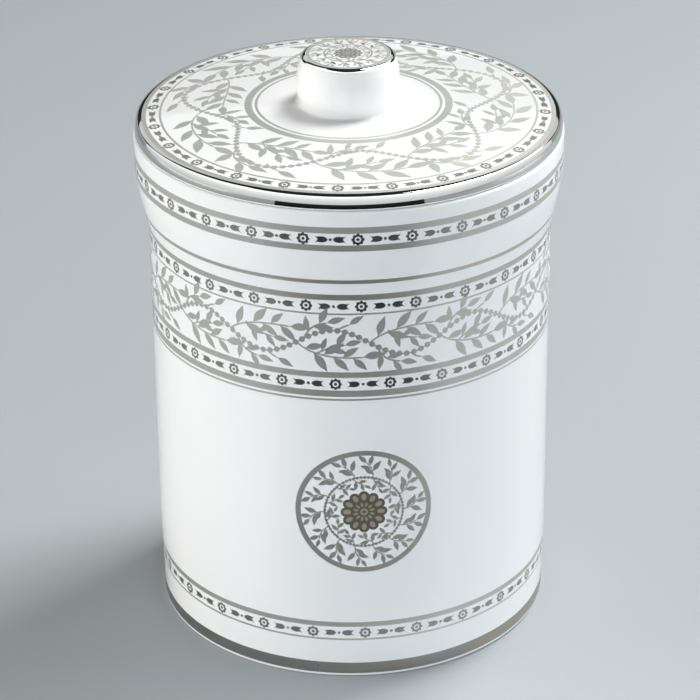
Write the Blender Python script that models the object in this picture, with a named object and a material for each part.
"""A lidded porcelain jar: a round body with a flared collar, a domed plate lid with a locating ring, a drum knob.

Metres, +Z up. The origin is the centre of the face that the foot ring stands on. Each piece is a turned
solid: an outline in radius and height, drawn from the axis out, round the outside and back to the axis.
"""

import math

import bpy

# Jar body: outside
BODY_RADIUS = 0.0502
BODY_WALL_TOP = 0.1045
FOOT_DRAW_IN = 0.0004
DRAW_IN_HEIGHT = 0.0236
FOOT_CORNER = 0.0008
FLARE_HEIGHT = 0.0182
FLARE_FOOT_HANDLE = 0.0026
FLARE_TOP_HANDLE = 0.0082
COLLAR_OVERHANG = 0.0029
COLLAR_RADIUS = BODY_RADIUS + COLLAR_OVERHANG
COLLAR_HEIGHT = 0.0060
LIP_ROUNDING = 0.0007

# Jar body: inside and underneath
WALL = 0.0034
FLOOR = 0.0040
FLOOR_CORNER = 0.0050
FOOT_RING_WIDTH = 0.0050
FOOT_RING_HEIGHT = 0.0020
FOOT_RING_ROUNDING = 0.0008

# Lid
SEAT_GAP = 0.0003
LID_SET_IN = 0.0004
LID_RADIUS = COLLAR_RADIUS - LID_SET_IN
LID_EDGE_HEIGHT = 0.0036
LID_EDGE_DEPTH = 0.00105
LID_UNDER_ROUNDING = 0.0005
DOME_RISE = 0.0027
LID_THICKNESS = 0.0036
RING_CLEARANCE = 0.0008
RING_DEPTH = 0.0058
RING_WALL = 0.0030
RING_ROUNDING = 0.0008

# Knob
SLIP_GAP = 0.0003
KNOB_RADIUS = 0.0125
KNOB_COVE = 0.0018
KNOB_COVE_LIP = 0.0002
KNOB_BELLY_BULGE = 0.0002
KNOB_TOP_DRAW_IN = 0.00065
KNOB_EDGE_ROUNDING = 0.0006
KNOB_HEIGHT = 0.0123

# How finely the outlines and the turning are stepped
BODY_SEGMENTS = 72
KNOB_SEGMENTS = 48
CORNER_STEPS = 3
CURVE_STEPS = 6
MERGE_DISTANCE = 0.00001

# Points along a curve, as shares of its length or height
BELLY_HANDLE_SHARES = (0.33, 0.70)


def clear_scene():
    for obj in list(bpy.data.objects):
        bpy.data.objects.remove(obj, do_unlink=True)


def porcelain(name, colour, roughness):
    """Glazed hard porcelain, a separate material for each piece."""
    material = bpy.data.materials.new(name)
    material.use_nodes = True
    shader = material.node_tree.nodes["Principled BSDF"]
    shader.inputs["Base Color"].default_value = (*colour, 1.0)
    shader.inputs["Roughness"].default_value = roughness
    shader.inputs["Metallic"].default_value = 0.0
    material.diffuse_color = (*colour, 1.0)
    return material


def bezier(start, first, second, end, steps):
    """Points on a cubic curve, both ends included."""
    points = []
    for i in range(steps + 1):
        t = i / steps
        s = 1 - t
        shares = (s**3, 3 * s * s * t, 3 * s * t * t, t**3)
        corners = (start, first, second, end)
        points.append(tuple(sum(w * p[k] for w, p in zip(shares, corners)) for k in (0, 1)))
    return points


def quarter_ellipse(centre, across, up, steps):
    """Points from straight above the centre, outwards and down to the height of the centre."""
    points = []
    for i in range(steps + 1):
        angle = math.pi / 2 * (1 - i / steps)
        points.append((centre[0] + across * math.cos(angle), centre[1] + up * math.sin(angle)))
    return points


def corner(before, point, after, radius, steps):
    """The corner at point, rounded by an arc that touches both of its sides."""
    a = (before[0] - point[0], before[1] - point[1])
    b = (after[0] - point[0], after[1] - point[1])
    len_a = math.hypot(*a)
    len_b = math.hypot(*b)
    a = (a[0] / len_a, a[1] / len_a)
    b = (b[0] / len_b, b[1] / len_b)
    half = math.acos(max(-1.0, min(1.0, a[0] * b[0] + a[1] * b[1]))) / 2
    reach = min(radius / math.tan(half), len_a / 2, len_b / 2)
    start = (point[0] + a[0] * reach, point[1] + a[1] * reach)
    end = (point[0] + b[0] * reach, point[1] + b[1] * reach)
    return bezier_arc(start, point, end, half, steps)


def bezier_arc(start, point, end, half, steps):
    """The arc from start to end whose tangents meet at point, half the angle between its sides given."""
    hug = 4 / 3 * math.tan((math.pi - 2 * half) / 4) * math.tan(half)
    first = tuple(s + (p - s) * hug for s, p in zip(start, point))
    second = tuple(e + (p - e) * hug for e, p in zip(end, point))
    return bezier(start, first, second, end, steps)


def rounded(corners):
    """An outline from (radius, height, rounding) corners. A rounding of 0 keeps the point sharp."""
    points = []
    for i, (r, z, rounding) in enumerate(corners):
        if rounding and 0 < i < len(corners) - 1:
            points += corner(corners[i - 1][:2], (r, z), corners[i + 1][:2], rounding, CORNER_STEPS)
        else:
            points.append((r, z))
    return points


def turned(name, outline, height, segments, material):
    """The outline turned about Z. Its object stands on the axis at the height given."""
    mesh = bpy.data.meshes.new(name)
    vertices = [(r, 0.0, z - height) for r, z in outline]
    mesh.from_pydata(vertices, [(i, i + 1) for i in range(len(vertices) - 1)], [])
    obj = bpy.data.objects.new(name, mesh)
    bpy.context.scene.collection.objects.link(obj)
    screw = obj.modifiers.new("Turn", "SCREW")
    screw.axis = "Z"
    screw.angle = 2 * math.pi
    screw.steps = segments
    screw.render_steps = segments
    screw.use_merge_vertices = True
    screw.merge_threshold = MERGE_DISTANCE
    screw.use_smooth_shade = True
    graph = bpy.context.evaluated_depsgraph_get()
    solid = bpy.data.meshes.new_from_object(obj.evaluated_get(graph), depsgraph=graph)
    solid.name = name
    obj.modifiers.remove(screw)
    obj.data = solid
    bpy.data.meshes.remove(mesh)
    solid.shade_smooth()
    solid.set_sharp_from_angle(angle=math.radians(30))
    solid.materials.clear()
    solid.materials.append(material)
    obj.location = (0.0, 0.0, height)
    return obj


def flare(offset):
    """The curve that widens the wall into the collar, bottom to top, moved in by the offset."""
    bottom = BODY_RADIUS - offset
    top = COLLAR_RADIUS - offset
    collar_start = BODY_WALL_TOP + FLARE_HEIGHT
    return bezier(
        (bottom, BODY_WALL_TOP),
        (bottom, BODY_WALL_TOP + FLARE_FOOT_HANDLE),
        (top, collar_start - FLARE_TOP_HANDLE),
        (top, collar_start),
        CURVE_STEPS,
    )


def collar_top():
    return BODY_WALL_TOP + FLARE_HEIGHT + COLLAR_HEIGHT


def jar_body():
    """Foot ring, floor, wall, flare and collar in one casting."""
    floor_top = FOOT_RING_HEIGHT + FLOOR
    foot_radius = BODY_RADIUS - FOOT_DRAW_IN
    ring_inside = foot_radius - FOOT_RING_WIDTH
    rim = collar_top()
    inside_bottom = rounded(
        [
            (0.0, floor_top, 0.0),
            (foot_radius - WALL, floor_top, FLOOR_CORNER),
            (BODY_RADIUS - WALL, DRAW_IN_HEIGHT, 0.0),
        ]
    )
    lip = rounded(
        [
            (COLLAR_RADIUS - WALL, rim - COLLAR_HEIGHT, 0.0),
            (COLLAR_RADIUS - WALL, rim, LIP_ROUNDING),
            (COLLAR_RADIUS, rim, LIP_ROUNDING),
            (COLLAR_RADIUS, rim - COLLAR_HEIGHT, 0.0),
        ]
    )
    outside_bottom = rounded(
        [
            (BODY_RADIUS, DRAW_IN_HEIGHT, 0.0),
            (foot_radius, 0.0, FOOT_CORNER),
            (ring_inside, 0.0, FOOT_RING_ROUNDING),
            (ring_inside, FOOT_RING_HEIGHT, FOOT_RING_ROUNDING),
            (0.0, FOOT_RING_HEIGHT, 0.0),
        ]
    )
    outline = inside_bottom + flare(WALL) + lip[1:-1] + flare(0.0)[::-1] + outside_bottom
    clay = porcelain("porcelain_body", (0.91, 0.92, 0.92), 0.10)
    return turned("jar_body", outline, 0.0, BODY_SEGMENTS, clay)


def lid_seat():
    return collar_top() + SEAT_GAP


def lid_top():
    """Height that the dome would reach in the middle of the lid."""
    return lid_seat() + LID_EDGE_HEIGHT + DOME_RISE


def dome_height(r):
    """Height of the lid's upper face at radius r: a shallow spherical cap."""
    rim = LID_RADIUS - LID_EDGE_DEPTH
    sphere = (rim**2 + DOME_RISE**2) / (2 * DOME_RISE)
    return lid_top() - sphere + math.sqrt(sphere**2 - r**2)


def dome(inner, outer, drop):
    """Points on the cap from one radius to another, moved down by the drop."""
    radii = [inner + (outer - inner) * i / CURVE_STEPS for i in range(CURVE_STEPS + 1)]
    return [(r, dome_height(r) - drop) for r in radii]


def knob_foot_radius():
    """Radius of the flat that the knob stands on, out to the end of its cove."""
    return KNOB_RADIUS + KNOB_COVE


def knob_pad():
    """Height of the flat in the middle of the lid, where the knob stands."""
    return dome_height(knob_foot_radius())


def lid():
    """Domed plate with a rounded edge, and underneath it the ring that keeps it centred in the mouth."""
    seat = lid_seat()
    dome_radius = LID_RADIUS - LID_EDGE_DEPTH
    ring_outside = COLLAR_RADIUS - WALL - RING_CLEARANCE
    ring_inside = ring_outside - RING_WALL
    ring_bottom = seat - RING_DEPTH
    hollow = dome(ring_inside, 0.0, LID_THICKNESS)
    edge_bottom = seat + LID_UNDER_ROUNDING
    top = [(0.0, knob_pad())] + dome(knob_foot_radius(), dome_radius, 0.0)
    edge = quarter_ellipse(
        (dome_radius, edge_bottom), LID_EDGE_DEPTH, LID_EDGE_HEIGHT - LID_UNDER_ROUNDING, CURVE_STEPS
    )
    under = rounded(
        [
            (LID_RADIUS, edge_bottom, 0.0),
            (LID_RADIUS, seat, LID_UNDER_ROUNDING),
            (ring_outside, seat, 0.0),
            (ring_outside, ring_bottom, RING_ROUNDING),
            (ring_inside, ring_bottom, RING_ROUNDING),
            (*hollow[0], RING_ROUNDING),
            (*hollow[1], 0.0),
        ]
    )
    clay = porcelain("porcelain_lid", (0.92, 0.92, 0.92), 0.10)
    outline = top[:-1] + edge[:-1] + under + hollow[2:]
    return turned("lid", outline, seat, BODY_SEGMENTS, clay)


def knob(carrier):
    """Drum with a slightly full side and a cove round its foot, stuck to the middle of the lid with slip."""
    foot = knob_pad() + SLIP_GAP
    top = foot + KNOB_HEIGHT
    top_radius = KNOB_RADIUS - KNOB_TOP_DRAW_IN
    cove_end = foot + KNOB_COVE_LIP
    side_start = cove_end + KNOB_COVE
    side_end = top - KNOB_EDGE_ROUNDING
    full = [side_start + (side_end - side_start) * share for share in BELLY_HANDLE_SHARES]
    side = bezier(
        (top_radius, side_end),
        (KNOB_RADIUS + KNOB_BELLY_BULGE, full[1]),
        (KNOB_RADIUS + KNOB_BELLY_BULGE, full[0]),
        (KNOB_RADIUS, side_start),
        CURVE_STEPS,
    )
    edge = quarter_ellipse(
        (top_radius - KNOB_EDGE_ROUNDING, side_end), KNOB_EDGE_ROUNDING, KNOB_EDGE_ROUNDING, CORNER_STEPS
    )
    cove = bezier_arc(
        (KNOB_RADIUS, side_start),
        (KNOB_RADIUS, cove_end),
        (knob_foot_radius(), cove_end),
        math.pi / 4,
        CORNER_STEPS,
    )
    clay = porcelain("porcelain_knob", (0.92, 0.92, 0.92), 0.10)
    outline = [(0.0, top)] + edge[:-1] + side[:-1] + cove + [(knob_foot_radius(), foot), (0.0, foot)]
    obj = turned("knob", outline, foot, KNOB_SEGMENTS, clay)
    obj.parent = carrier
    obj.location = (0.0, 0.0, foot - carrier.location.z)
    return obj


def main():
    clear_scene()
    jar_body()
    knob(lid())


main()
